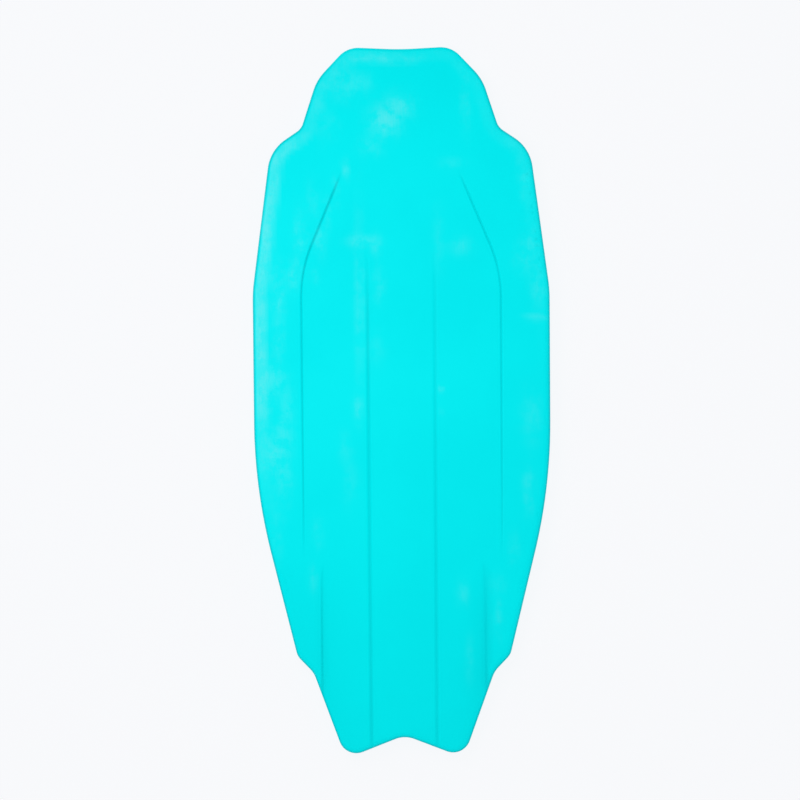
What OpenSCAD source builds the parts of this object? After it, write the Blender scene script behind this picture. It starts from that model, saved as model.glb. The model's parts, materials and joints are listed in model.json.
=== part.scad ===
// Bodyboard, lying on its deck with the slick facing up.
// +Z points out of the slick, +Y points to the nose, and the origin is the middle of the deck face.

/* [Board] */
// Length from the nose to the tail lobes
board_l = 1219; // [1100:1:1300]
// Width across the rails
board_w = 512.6; // [480:0.1:540]
// Thickness of the middle of the board
board_t = 56; // [50:1:62]
// Thickness at the nose
nose_t = 30; // [28:1:40]
// Thickness at the tail
tail_t = 48; // [44:1:56]
// Length of the curved thinning at the nose
nose_run = 400; // [320:5:410]
// Length of the straight thinning at the tail
tail_run = 350; // [300:5:360]

/* [Skins] */
// Thickness of the moulded plastic slick
slick_t = 1.5; // [1:0.1:2.5]
// Thickness of the foam sheet under the slick
backing_t = 3; // [2:0.5:4]
// Thickness of the plastic mesh bonded to the core
mesh_t = 0.8; // [0.5:0.1:1.2]
// Thickness of the deck skin
deck_t = 4; // [3:0.5:6]
// Thickness of the foam strips round the edge
strip_t = 6; // [4:0.5:8]
// Height of the bevelled chine above the deck face
chine_h = 20; // [14:1:22]
// How far the chine leans in at the deck face
chine_w = 18; // [8:1:24]

/* [Channels] */
// Width of each inner channel
inner_channel_w = 8; // [6:0.5:12]
// Depth of each inner channel
inner_channel_d = 3; // [2:0.1:4]
// Distance of each inner channel from the centre line
inner_channel_x = 57.5; // [50:0.5:70]
// Width of each outer channel
outer_channel_w = 5; // [4:0.5:8]
// Depth of each outer channel
outer_channel_d = 2.5; // [1.5:0.1:4]
// Depth of each tail scoop at the tail end of its wall
scoop_d = 6.5; // [4:0.5:8]
// Width of each tail scoop at the tail
scoop_w = 60; // [45:1:62]

/* [Stringers] */
// Outer diameter of each stringer tube
stringer_od = 12; // [10:0.5:16]
// Inner diameter of each stringer tube
stringer_id = 9; // [6:0.5:9.5]
// Distance of each stringer from the centre line
stringer_x = 95; // [88:1:98]
// Height of the stringers above the deck face
stringer_z = 27; // [26.5:0.5:29]

/* [Leash cup] */
// Distance from the nose to the middle of the cup
leash_from_nose = 430; // [425:1:600]
// Outer diameter of the cup's body
cup_od = 32; // [30:1:36]
// Inner diameter of the cup
cup_id = 26; // [24:1:27]
// Depth of the cup's body below the deck face
cup_h = 14; // [12:1:18]
// Diameter of the cup's flange
cup_flange_d = 44; // [40:1:50]
// Thickness of the cup's flange
cup_flange_t = 1.5; // [1:0.1:2]
// Thickness of the cup's floor
cup_floor_t = 3; // [2:0.5:4]
// Diameter of the pin across the cup
leash_pin_d = 5; // [4:0.5:6]
// Height of the pin's axis above the deck face
leash_pin_z = 5; // [4.5:0.5:6]
// Diameter of the anchor disc
anchor_d = 50; // [40:1:55]
// Thickness of the anchor disc
anchor_t = 3; // [2:0.5:4]
// Diameter of the anchor screw's shank
screw_d = 5; // [4:0.5:6]
// Diameter of the anchor screw's head
screw_head_d = 9; // [8:0.5:10]
// Height of the anchor screw's head
screw_head_h = 2.5; // [2:0.1:3]

/* [Hidden] */
$fn = 64;

half_l = board_l / 2;
half_w = board_w / 2;
left = -1;
right = 1;

// The outline is laid out on a board of this size and stretched to the one wanted
layout_l = 1219;
layout_w = 512.6;
arc_step = 9;

// Depths of the layers below the slick's face
backing_drop = slick_t;
mesh_drop = backing_drop + backing_t;
core_drop = mesh_drop + mesh_t;

// Where the thinning of the nose and tail begins
nose_break_y = half_l - nose_run;
tail_break_y = tail_run - half_l;
nose_curve_steps = 20;

// The strips round the nose and tail end this far from each end
nose_strip_l = 74;
tail_strip_l = 82;

// Overshoot of a cutter past the face that it cuts
over = 5;
// More than the height of the board, for cutters that pass through it
tall = 2 * board_t;

// Where the inner channels fade in, past the start of the nose's thinning
inner_fade = 60;
// The outer channels: x at the tail, at the bend and at the nose, and distances back from the nose
outer_tail_x = 171;
outer_bend_x = 172.5;
outer_bend_s = 386;
outer_bend_r = 240;
outer_nose_x = 99.5;
outer_nose_s = 215;
outer_fade = 60;
// Where the points of the slanting stretch lie, as shares of the way from the bend to the nose end
outer_slant_shares = [0.35, 0.5, 0.67];
// The tail scoops: the tip, and x of the straight part of the wall
scoop_tip_x = 138;
scoop_tip_s = 888;
scoop_wall_x = 141.5;
// Distances behind the tip over which the wall straightens, the floor sinks and the ramp widens
scoop_wall_run = 18;
scoop_floor_run = 100;
scoop_ramp_run = 62;
// Cross-sections of the scoops, behind the tip; the first lies ahead of it and above the face
scoop_steps = [-8, 12, 30, 60, 110, 200, board_l + over - scoop_tip_s];

leash_y = half_l - leash_from_nose;
anchor_top = board_t - core_drop;
// How far each end of the leash pin stops short of the outside of the cup
pin_inset = 0.5;
// How far the stringer tubes stop short of the nose and of the tail
stringer_nose_gap = 160;
stringer_tail_gap = 60;
stringer_nose_y = half_l - stringer_nose_gap;
stringer_tail_y = stringer_tail_gap - half_l;

// ---- Outline ----

// A corner of the outline: half-width, distance back from the nose line, and fillet radius
function corner(x, s, r) = [x * board_w / layout_w, half_l - s * board_l / layout_l, r];

// Corners of the right-hand side, from the middle of the nose to the middle of the tail
right_corners = [
    corner(0, 3.5, 500),      // shallow dip in the nose
    corner(90, -1, 45),       // nose corner
    corner(143, 55.5, 90),    // head
    corner(170.4, 140, 27),   // neck, where a hand grips
    corner(224.4, 176.6, 70), // shoulder
    corner(256.3, 421, 250),  // widest point, front
    corner(255.4, 761, 950),  // widest point, back
    corner(183.8, 1051, 28),  // wing tip
    corner(156, 1080, 45),    // step behind the wing
    corner(101.6, 1228.7, 30.5), // tail lobe
    corner(0, 1189.3, 45)     // notch between the lobes
];
corner_count = len(right_corners);
corners = concat(
    right_corners,
    [for (i = [corner_count - 2 : -1 : 1]) mirrored(right_corners[i])]
);

function mirrored(c) = [-c[0], c[1], c[2]];
function point(c) = [c[0], c[1]];
function unit(v) = v / norm(v);
function turned(v, angle) = [
    v[0] * cos(angle) - v[1] * sin(angle),
    v[0] * sin(angle) + v[1] * cos(angle)
];

// To the right of v, which is into the board for a step along the outline
function quarter_turned(v) = [v[1], -v[0]];

// Points along the arc of radius r that rounds the corner b between a and c
function fillet(a, b, c, r) =
    let (
        to_a = unit(a - b),
        to_c = unit(c - b),
        half_angle = acos(to_a * to_c) / 2,
        centre = b + unit(to_a + to_c) * r / sin(half_angle),
        start = b + to_a * r / tan(half_angle) - centre,
        turn = atan2(cross(-to_a, to_c), -to_a * to_c),
        steps = max(2, ceil(abs(turn) / arc_step))
    )
    [for (i = [0 : steps]) centre + turned(start, turn * i / steps)];

outline_points = [
    for (i = [0 : len(corners) - 1])
        let (
            before = corners[(i + len(corners) - 1) % len(corners)],
            after = corners[(i + 1) % len(corners)]
        )
        each fillet(point(before), point(corners[i]), point(after), corners[i][2])
];

// The board's outline, drawn in by inset all round
module outline(inset) {
    count = len(outline_points);
    polygon([
        for (i = [0 : count - 1])
            let (
                here = outline_points[i],
                ahead = unit(outline_points[(i + 1) % count] - here),
                behind = unit(here - outline_points[(i + count - 1) % count]),
                inwards = quarter_turned(ahead + behind)
            )
            here + inwards * 2 * inset / (inwards * inwards)
    ]);
}

// ---- Body of the board ----

// Height of the tail's straight slope above the deck face, at any y
function slope_z(y) = board_t - (board_t - tail_t) * (tail_break_y - y) / tail_run;

// Height of the slick's face above the deck face
function face_z(y) =
    y > nose_break_y ? board_t - (board_t - nose_t) * pow((y - nose_break_y) / nose_run, 2)
    : y < tail_break_y ? slope_z(y)
    : board_t;

function on_face(x, y) = [x, y, face_z(y)];

// Everything below the slick's face, seen from the side, lowered by drop
module side_block(drop) {
    nose_curve = [
        for (i = [0 : nose_curve_steps])
            let (y = nose_break_y + nose_run * i / nose_curve_steps)
            [y, face_z(y) - drop]
    ];
    tail_y = -half_l - over;
    nose_y = half_l + over;
    rotate([90, 0, 90])
        translate([0, 0, -board_w])
            linear_extrude(2 * board_w)
                polygon(concat(
                    [[tail_y, -over], [tail_y, slope_z(tail_y) - drop], [tail_break_y, board_t - drop]],
                    nose_curve,
                    [[nose_y, nose_t - drop], [nose_y, -over]]
                ));
}

// Cutter for a V-shaped channel along a path on the face, from tail to nose.
// Its walls carry on upwards past the face, and each layer below the face has a wider copy.
module channel(path, width, depth, drop) {
    half = width / 2 + drop;
    top_half = half * (depth + over) / depth;
    section = [[-top_half, 0, over], [top_half, 0, over], [0, 0, -depth]];
    corner_n = len(section);
    last = (len(path) - 1) * corner_n;
    points = [for (p = path) for (q = section) p + q - [0, 0, drop]];
    walls = [
        for (i = [0 : len(path) - 2])
            for (k = [0 : corner_n - 1])
                let (here = i * corner_n + k, next = i * corner_n + (k + 1) % corner_n)
                [next, here, here + corner_n, next + corner_n]
    ];
    polyhedron(points, concat([[0, 1, 2]], walls, [[last + 2, last + 1, last]]));
}

// Both inner channels: they fade in near the nose and run out through the tail
module inner_channels(drop) {
    tail_y = -half_l - 2 * over;
    for (side = [left, right]) {
        x = side * inner_channel_x;
        channel([
            [x, tail_y, slope_z(tail_y)],
            on_face(x, tail_break_y),
            on_face(x, nose_break_y),
            on_face(x, nose_break_y + inner_fade) + [0, 0, inner_channel_d]
        ], inner_channel_w, inner_channel_d, drop);
    }
}

// Both outer channels: a stretch along the rail, then one that slants in towards the nose
module outer_channels(drop) {
    tail_end = [outer_tail_x, tail_break_y];
    deep_end = tail_end + [0, outer_fade];
    bend = [outer_bend_x, half_l - outer_bend_s];
    nose_end = [outer_nose_x, half_l - outer_nose_s];
    middle = concat(
        [deep_end],
        fillet(deep_end, bend, nose_end, outer_bend_r),
        [for (share = outer_slant_shares) bend + (nose_end - bend) * share]
    );
    for (side = [left, right])
        channel(concat(
            [on_face(side * tail_end[0], tail_end[1]) + [0, 0, outer_channel_d]],
            [for (p = middle) on_face(side * p[0], p[1])],
            [on_face(side * nose_end[0], nose_end[1]) + [0, 0, outer_channel_d]]
        ), outer_channel_w, outer_channel_d, drop);
}

// Rises from 0 towards 1 over a distance, and is negative ahead of the start
function eased(distance, run) = 1 - exp(-distance / run);

// One cross-section of the right-hand scoop: its wall, and its floor carried on past the face
function scoop_section(behind, drop) =
    let (
        y = half_l - scoop_tip_s - behind,
        face = slope_z(y) - drop,
        depth = scoop_d * eased(behind, scoop_floor_run),
        wall_x = scoop_tip_x + (scoop_wall_x - scoop_tip_x) * eased(max(0, behind), scoop_wall_run) + drop,
        reach = over + 1.5 * scoop_w * eased(max(0, behind), scoop_ramp_run)
    )
    [
        [wall_x, y, tall],
        [wall_x, y, face - depth],
        [wall_x - reach, y, face + abs(depth) / 2],
        [wall_x - reach, y, tall]
    ];

// Cutter for one tail scoop: an upright outer wall, and a floor that ramps up towards the centre
module tail_scoop(side, drop) {
    sections = [for (behind = scoop_steps) scoop_section(behind, drop)];
    points = [for (section = sections) for (p = section) [side * p[0], p[1], p[2]]];
    last = 4 * (len(sections) - 1);
    skin = [
        for (i = [0 : 4 : last - 4])
            each [
                [i, i + 4, i + 5, i + 1],
                [i + 1, i + 5, i + 6],
                [i + 1, i + 6, i + 2],
                [i + 2, i + 6, i + 7, i + 3],
                [i + 3, i + 7, i + 4, i]
            ]
    ];
    faces = concat([[0, 1, 2, 3]], skin, [[last + 3, last + 2, last + 1, last]]);
    polyhedron(
        points,
        side == left ? faces : [for (f = faces) [for (k = [len(f) - 1 : -1 : 0]) f[k]]]
    );
}

// Everything below the slick's face with its channels and scoops, lowered by drop
module below_face(drop) {
    difference() {
        side_block(drop);
        inner_channels(drop);
        outer_channels(drop);
        tail_scoop(left, drop);
        tail_scoop(right, drop);
    }
}

// The plan shape as an upright prism from the top of the chine upwards
module upper_prism(inset) {
    translate([0, 0, chine_h])
        linear_extrude(tall)
            outline(inset);
}

// The bevelled part of the board between the deck face and the top of the chine
module chine_block(inset) {
    translate([0, 0, chine_h])
        mirror([0, 0, 1])
            linear_extrude(chine_h, slices = 1, scale = [1 - chine_w / half_w, 1 - chine_w / half_l])
                outline(inset);
}

// One sheet of the stack under the slick's face, between two depths
module sheet_layer(inset, top_drop, bottom_drop) {
    intersection() {
        upper_prism(inset);
        difference() {
            below_face(top_drop);
            below_face(bottom_drop);
        }
    }
}

// The edge band between the outline and the core, above the chine
module upper_band() {
    intersection() {
        difference() {
            upper_prism(0);
            upper_prism(strip_t);
        }
        below_face(slick_t);
    }
}

// The edge band between the outline and the core, below the top of the chine
module chine_band() {
    difference() {
        chine_block(0);
        chine_block(strip_t);
    }
}

// Keeps the stretch of an edge band along one rail
module rail_span(side) {
    intersection() {
        children();
        translate([side == left ? -board_w : 0, tail_strip_l - half_l, 0])
            cube([board_w, board_l - nose_strip_l - tail_strip_l, tall]);
    }
}

// Keeps the stretch of an edge band round one end, from y upwards to y + length
module end_span(y, length) {
    intersection() {
        children();
        translate([-board_w, y, 0])
            cube([2 * board_w, length, tall]);
    }
}

// ---- Sub-parts ----

module bottom_slick() {
    color([0, 0.92, 0.94])
        sheet_layer(0, 0, slick_t);
}

module slick_backing() {
    color([0.85, 0.95, 0.95])
        sheet_layer(strip_t, backing_drop, mesh_drop);
}

module reinforcement_mesh() {
    color([0.3, 0.32, 0.34])
        sheet_layer(strip_t, mesh_drop, core_drop);
}

// The hole that one stringer and its plug fill, open at the tail end of the core
module stringer_bore(side) {
    translate([side * stringer_x, stringer_nose_y, stringer_z])
        rotate([90, 0, 0])
            cylinder(h = stringer_nose_y + half_l + over, d = stringer_od);
}

module foam_core() {
    color([0.96, 0.96, 0.94])
        difference() {
            union() {
                chine_block(strip_t);
                intersection() {
                    upper_prism(strip_t);
                    below_face(core_drop);
                }
            }
            translate([-board_w, -board_l, -over])
                cube([2 * board_w, 2 * board_l, deck_t + over]);
            stringer_bore(left);
            stringer_bore(right);
            translate([0, leash_y, 0]) {
                cylinder(h = cup_h, d = cup_od);
                cylinder(h = anchor_top, d = screw_d);
                translate([0, 0, anchor_top - anchor_t])
                    cylinder(h = anchor_t + over, d = anchor_d);
            }
        }
}

module deck_skin() {
    color([0, 0.8, 0.84])
        difference() {
            intersection() {
                chine_block(strip_t);
                translate([-board_w, -board_l, 0])
                    cube([2 * board_w, 2 * board_l, deck_t]);
            }
            translate([0, leash_y, -over]) {
                cylinder(h = tall, d = cup_od);
                cylinder(h = over + cup_flange_t, d = cup_flange_d);
            }
        }
}

module rail_strip(side) {
    color([0, 0.86, 0.89])
        rail_span(side)
            upper_band();
}

module chine_strip(side) {
    color([0, 0.84, 0.87])
        rail_span(side)
            chine_band();
}

module nose_span() {
    end_span(half_l - nose_strip_l, nose_strip_l + over)
        children();
}

module tail_span() {
    end_span(-half_l - over, tail_strip_l + over)
        children();
}

module nose_strip() {
    color([0, 0.86, 0.89])
        nose_span()
            upper_band();
}

module nose_chine_strip() {
    color([0, 0.84, 0.87])
        nose_span()
            chine_band();
}

module tail_strip() {
    color([0, 0.86, 0.89])
        tail_span()
            upper_band();
}

module tail_chine_strip() {
    color([0, 0.84, 0.87])
        tail_span()
            chine_band();
}

module stringer_tube(side) {
    color([0.12, 0.12, 0.13])
        translate([side * stringer_x, stringer_nose_y, stringer_z])
            rotate([90, 0, 0])
                difference() {
                    cylinder(h = stringer_nose_y - stringer_tail_y, d = stringer_od);
                    translate([0, 0, -over])
                        cylinder(h = board_l, d = stringer_id);
                }
}

// Foam plug behind the tube, flush with the tail end of the core
module stringer_plug(side) {
    color([0.9, 0.9, 0.88])
        intersection() {
            translate([side * stringer_x, stringer_tail_y, stringer_z])
                rotate([90, 0, 0])
                    cylinder(h = half_l + stringer_tail_y + over, d = stringer_od);
            upper_prism(strip_t);
        }
}

module leash_cup() {
    color([0.1, 0.1, 0.11])
        translate([0, leash_y, 0])
            difference() {
                union() {
                    cylinder(h = cup_h, d = cup_od);
                    cylinder(h = cup_flange_t, d = cup_flange_d);
                }
                translate([0, 0, -over])
                    cylinder(h = cup_h - cup_floor_t + over, d = cup_id);
                cylinder(h = cup_h + over, d = screw_d);
                translate([-cup_od / 2 - over, 0, leash_pin_z])
                    rotate([0, 90, 0])
                        cylinder(h = cup_od + 2 * over, d = leash_pin_d);
            }
}

// The pin that the leash ties to, its ends set in the wall of the cup
module leash_pin() {
    color([0.75, 0.76, 0.78])
        translate([pin_inset - cup_od / 2, leash_y, leash_pin_z])
            rotate([0, 90, 0])
                cylinder(h = cup_od - 2 * pin_inset, d = leash_pin_d);
}

module leash_anchor_disc() {
    color([0.15, 0.15, 0.16])
        translate([0, leash_y, anchor_top - anchor_t])
            difference() {
                cylinder(h = anchor_t, d = anchor_d);
                translate([0, 0, -over])
                    cylinder(h = anchor_t + 2 * over, d = screw_d);
            }
}

module leash_anchor_screw() {
    color([0.7, 0.71, 0.73])
        translate([0, leash_y, cup_h - cup_floor_t - screw_head_h]) {
            cylinder(h = screw_head_h, d = screw_head_d);
            cylinder(h = anchor_top - cup_h + cup_floor_t + screw_head_h, d = screw_d);
        }
}

bottom_slick();
slick_backing();
reinforcement_mesh();
foam_core();
deck_skin();
rail_strip(left);  // rail_strip_left
rail_strip(right);  // rail_strip_right
chine_strip(left);  // chine_strip_left
chine_strip(right);  // chine_strip_right
nose_strip();
nose_chine_strip();
tail_strip();
tail_chine_strip();
stringer_tube(left);  // stringer_tube_left
stringer_tube(right);  // stringer_tube_right
stringer_plug(left);  // stringer_plug_left
stringer_plug(right);  // stringer_plug_right
leash_cup();
leash_pin();
leash_anchor_disc();
leash_anchor_screw();
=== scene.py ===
import json
import math

import bmesh
import bpy
import numpy as np
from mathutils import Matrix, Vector
from mathutils.geometry import delaunay_2d_cdt


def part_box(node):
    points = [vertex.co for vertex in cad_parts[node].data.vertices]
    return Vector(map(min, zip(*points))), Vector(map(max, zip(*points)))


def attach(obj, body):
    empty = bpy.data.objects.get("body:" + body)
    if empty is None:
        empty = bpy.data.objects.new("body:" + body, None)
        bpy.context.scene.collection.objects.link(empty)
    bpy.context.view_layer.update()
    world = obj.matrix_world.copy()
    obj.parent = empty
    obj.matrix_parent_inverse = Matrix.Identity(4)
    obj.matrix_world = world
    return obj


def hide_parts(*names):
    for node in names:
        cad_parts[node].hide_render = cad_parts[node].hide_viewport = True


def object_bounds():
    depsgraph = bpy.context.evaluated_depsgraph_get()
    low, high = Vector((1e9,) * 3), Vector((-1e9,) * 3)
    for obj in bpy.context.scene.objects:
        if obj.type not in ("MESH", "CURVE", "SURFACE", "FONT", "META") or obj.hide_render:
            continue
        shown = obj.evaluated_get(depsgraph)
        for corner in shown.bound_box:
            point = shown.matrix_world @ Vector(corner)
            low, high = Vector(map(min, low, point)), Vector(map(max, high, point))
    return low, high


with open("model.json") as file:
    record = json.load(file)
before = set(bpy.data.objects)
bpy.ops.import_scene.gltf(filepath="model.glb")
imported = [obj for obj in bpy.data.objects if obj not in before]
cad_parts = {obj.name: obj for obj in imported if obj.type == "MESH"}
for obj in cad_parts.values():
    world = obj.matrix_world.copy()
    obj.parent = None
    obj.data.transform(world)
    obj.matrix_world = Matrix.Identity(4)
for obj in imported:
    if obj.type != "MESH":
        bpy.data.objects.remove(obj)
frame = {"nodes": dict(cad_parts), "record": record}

# A foam bodyboard, seen from its slick side. It lies on its deck: +Z out of the slick, +Y to the nose.
# Shapes are worked out in millimetres and turned into metres when a mesh is made. In the plan, s is the
# distance from the nose, and what lies on both sides is made on the right and mirrored.
MM = 0.001
BODY = "root"
LEFT, RIGHT = -1, 1

cad_low, cad_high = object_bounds()


# ---- Dimensions: sizes of the CAD nodes first, then what their boxes don't tell ----

def node_box(name):
    """Lowest and highest corner of a CAD node, in millimetres."""
    low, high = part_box(name)
    return np.array(low) / MM, np.array(high) / MM


board_low = np.array(cad_low) / MM
board_high = np.array(cad_high) / MM
board_l = board_high[1] - board_low[1]
board_t = board_high[2]
nose_y = board_high[1]
tail_y = board_low[1]
strip_t = board_high[0] - node_box("foam_core")[1][0]
chine_h = node_box("chine_strip_left")[1][2]
deck_t = node_box("deck_skin")[1][2]
slick_t = board_t - node_box("slick_backing")[1][2]
nose_strip_y = node_box("nose_strip")[0][1]
tail_strip_y = node_box("tail_strip")[1][1]
cup_low, cup_high = node_box("leash_cup")
cup_centre_y = (cup_low[1] + cup_high[1]) / 2
cup_flange_r = (cup_high[0] - cup_low[0]) / 2

# The face drops towards both ends: the thickness there, and how far in from the end each drop starts
nose_t = 30.0
tail_t = 48.0
nose_run = 400.0
tail_run = 350.0
nose_break_y = nose_y - nose_run
tail_break_y = tail_y + tail_run
tail_blend = 40.0           # the tail's taper starts softly, over this far each way
chine_lean = 18.0           # how far in the chines' bevel reaches

# The slick's rounded edge is an ellipse: how far it reaches in, and how far it drops at full thickness
edge_in = 10.0
edge_drop = 11.0
edge_power = 1.2            # how much faster the drop shrinks than the board's thickness
lip = 2.0                   # the upright stretch below the rounded edge
seam_gap = 0.25             # between two pieces on the outside

# Widths and depths of the channels, and the share of its width that a channel covers on each side
groove_reach = 0.62
inner_w = 8.5
inner_d = 2.2
outer_w = 5.0
outer_d = 2.0

# The inner channels start this far from the nose and run very slightly closer together behind
inner_start = 320.0
inner_front_s = 330.0
inner_front_x = 58.3
inner_back_x = 56.6
# They deepen in two steps: share of the depth, distance behind the start, run
inner_fades = [(0.3, 0, 90), (0.7, 60, 480)]

# The outer channels: x and distance from the nose of the nose end, the bend and the tail end
outer_nose_end = (99.5, 212)
outer_bend = (172.5, 386)
outer_tail_end = (171.0, 895)
outer_bend_r = 240.0
outer_steps = 170
# They fade out over this share of their length at each end, and are shallower at the tail
outer_fade_end = 0.08
outer_tail_share = 0.4
outer_tail_from = 0.85
outer_tail_run = 0.4

# The tail scoops: depth and width, where the tip lies, and the runs over which wall, floor and ramp form
scoop_d = 6.2
scoop_w = 60.0
scoop_tip_x = 138.0
scoop_tip_s = 888.0
scoop_wall_x = 141.5
scoop_wall_run = 18.0
scoop_floor_run = 100.0
scoop_ramp_run = 62.0
scoop_wall_out = 1.5        # the upright wall ends this far outside its line
scoop_wall_w = 4.0


# ---- Outline ----

# Right-hand corners from the nose to the tail: half-width, distance from the nose, fillet radius
CORNERS = [
    (0.0, 3.5, 500.0),      # shallow dip in the nose
    (90.0, -1.0, 45.0),     # nose corner
    (143.0, 55.5, 90.0),    # head
    (170.4, 140.0, 27.0),   # neck
    (224.4, 176.6, 70.0),   # shoulder
    (256.3, 421.0, 250.0),  # widest point, front
    (255.4, 761.0, 950.0),  # widest point, back
    (183.8, 1051.0, 28.0),  # wing tip
    (156.0, 1080.0, 45.0),  # step behind the wing
    (101.6, 1228.7, 30.5),  # tail lobe
    (0.0, 1189.3, 45.0),    # notch between the lobes
]
ARC_STEPS = 24      # along each fillet
HALF_COUNT = 620    # points along half of the outline


def unit(v):
    return v / np.linalg.norm(v)


def turned(v, angle):
    c, s = math.cos(angle), math.sin(angle)
    return np.array([v[0] * c - v[1] * s, v[0] * s + v[1] * c])


def fillet(a, b, c, radius):
    """Points along the arc that rounds the corner b, which lies between a and c."""
    to_a, to_c = unit(a - b), unit(c - b)
    half = math.acos(np.clip(to_a @ to_c, -1, 1)) / 2
    centre = b + unit(to_a + to_c) * radius / math.sin(half)
    start = b + to_a * radius / math.tan(half) - centre
    turn = math.atan2(-to_a[0] * to_c[1] + to_a[1] * to_c[0], -to_a @ to_c)
    return [centre + turned(start, turn * i / ARC_STEPS) for i in range(ARC_STEPS + 1)]


def resampled(points, count):
    """count + 1 points spaced evenly along an open line of points."""
    steps = np.linalg.norm(np.diff(points, axis=0), axis=1)
    along = np.concatenate([[0], np.cumsum(steps)])
    wanted = np.linspace(0, along[-1], count + 1)
    return np.stack([np.interp(wanted, along, points[:, k]) for k in range(points.shape[1])], axis=1)


def make_outline():
    """The closed outline, clockwise from the middle of the nose, and the inward normals."""
    right = [np.array([x, -s]) for x, s, _ in CORNERS]
    radii = [r for _, _, r in CORNERS]
    mirrored = [p * (-1, 1) for p in right]
    line = []
    for i, corner in enumerate(right):
        before = right[i - 1] if i else mirrored[1]
        after = right[i + 1] if i + 1 < len(right) else mirrored[-2]
        arc = fillet(before, corner, after, radii[i])
        if i == 0:
            arc = arc[ARC_STEPS // 2:]
        if i + 1 == len(right):
            arc = arc[:ARC_STEPS // 2 + 1]
        line += arc
    half = resampled(np.array(line), HALF_COUNT)
    half[0, 0] = half[-1, 0] = 0
    ring = np.concatenate([half, half[-2:0:-1] * (-1, 1)])
    low, high = ring.min(axis=0), ring.max(axis=0)
    ring = board_low[:2] + (ring - low) * (board_high[:2] - board_low[:2]) / (high - low)
    along = np.roll(ring, -1, axis=0) - np.roll(ring, 1, axis=0)
    along /= np.linalg.norm(along, axis=1)[:, None]
    return ring, np.stack([along[:, 1], -along[:, 0]], axis=1)


outline, inward = make_outline()
POINTS = len(outline)


def inset(distance):
    """The outline drawn in by a distance, which may differ from point to point."""
    return outline + inward * np.broadcast_to(distance, POINTS)[:, None]


# ---- Height of the slick's face ----

def smooth(t):
    t = np.clip(t, 0, 1)
    return t * t * (3 - 2 * t)


def soft_ramp(t, width):
    """0 before t reaches 0 and t after it, with the corner rounded over the width."""
    rounded = (t + width) ** 2 / (4 * width)
    return np.where(t < -width, 0, np.where(t > width, t, rounded))


def face_z(y):
    nose = np.clip((y - nose_break_y) / nose_run, 0, None)
    tail = soft_ramp(tail_break_y - y, tail_blend) / tail_run
    return board_t - (board_t - nose_t) * nose ** 2 - (board_t - tail_t) * tail


def groove(distance, width):
    """Cross-section of a channel: 1 on its centre line, 0 outside its width, rounded between."""
    return 1 - smooth(np.abs(distance) / (width * groove_reach))


def inner_x(s):
    """x of the right-hand inner channel."""
    return np.interp(s, [inner_front_s, board_l], [inner_front_x, inner_back_x])


def outer_path():
    """Centre line of the right-hand outer channel, from its nose end to its tail end."""
    points = (outer_nose_end, outer_bend, outer_tail_end)
    nose_end, bend, tail_end = [np.array([x, nose_y - s]) for x, s in points]
    line = [nose_end] + fillet(nose_end, bend, tail_end, outer_bend_r) + [tail_end]
    return resampled(np.array(line), outer_steps)


OUTER = outer_path()


def to_outer(x, y):
    """Distance from the outer channel's centre line, and how far along it, from 0 to 1."""
    ahead = OUTER[1:] - OUTER[:-1]
    squared = (ahead ** 2).sum(axis=1)
    best = np.full(x.shape, np.inf)
    along = np.zeros(x.shape)
    for i, (start, step) in enumerate(zip(OUTER[:-1], ahead)):
        t = ((x - start[0]) * step[0] + (y - start[1]) * step[1]) / squared[i]
        t = np.clip(t, 0, 1)
        away = np.hypot(x - start[0] - t * step[0], y - start[1] - t * step[1])
        nearer = away < best
        best[nearer] = away[nearer]
        along[nearer] = ((i + t) / len(ahead))[nearer]
    return best, along


def eased(distance, run):
    """Rises from 0 towards 1 over a distance."""
    return 1 - np.exp(-np.clip(distance, 0, None) / run)


def scoop_wall(s):
    """x of the right-hand scoop's wall."""
    return scoop_tip_x + (scoop_wall_x - scoop_tip_x) * eased(s - scoop_tip_s, scoop_wall_run)


def scoop_depth(x, s):
    """A tail scoop: deepest along its upright outer wall, with a floor that ramps up inwards."""
    behind = s - scoop_tip_s
    wall_x = scoop_wall(s)
    depth = scoop_d * eased(behind, scoop_floor_run)
    across = np.clip((wall_x - x) / (1 + scoop_w * eased(behind, scoop_ramp_run)), 0, 1)
    return depth * (1 - across) ** 2 * smooth((wall_x + scoop_wall_out - x) / scoop_wall_w)


def channel_profiles(x, y):
    """How strong the inner and the outer channels are at each point, from 0 to 1."""
    x = np.abs(x)
    s = nose_y - y
    behind = s - inner_start
    inner_fade = sum(share * smooth((behind - start) / run) for share, start, run in inner_fades)
    away, along = to_outer(x, y)
    outer_fade = smooth(along / outer_fade_end) * smooth((1 - along) / outer_fade_end)
    deeper = smooth((outer_tail_from - along) / outer_tail_run)
    outer_fade *= outer_tail_share + (1 - outer_tail_share) * deeper
    return inner_fade * groove(x - inner_x(s), inner_w), outer_fade * groove(away, outer_w)


def relief(x, y):
    """How far the channels and scoops lie below the plain face."""
    inner, outer = channel_profiles(x, y)
    pressed = np.maximum(inner_d * inner, outer_d * outer)
    return np.maximum(pressed, scoop_depth(np.abs(x), nose_y - y))


# ---- Mesh helpers ----

def mesh_object(name, vertices, faces):
    """A new smooth-shaded object from vertices in millimetres."""
    mesh = bpy.data.meshes.new(name)
    mesh.from_pydata([tuple(v * MM) for v in np.asarray(vertices, float)], [], faces)
    mesh.validate()
    mesh.polygons.foreach_set("use_smooth", [True] * len(mesh.polygons))
    piece = bpy.data.objects.new(name, mesh)
    bpy.context.scene.collection.objects.link(piece)
    return piece


MERGE = 0.004       # vertices closer than this are one


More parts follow.
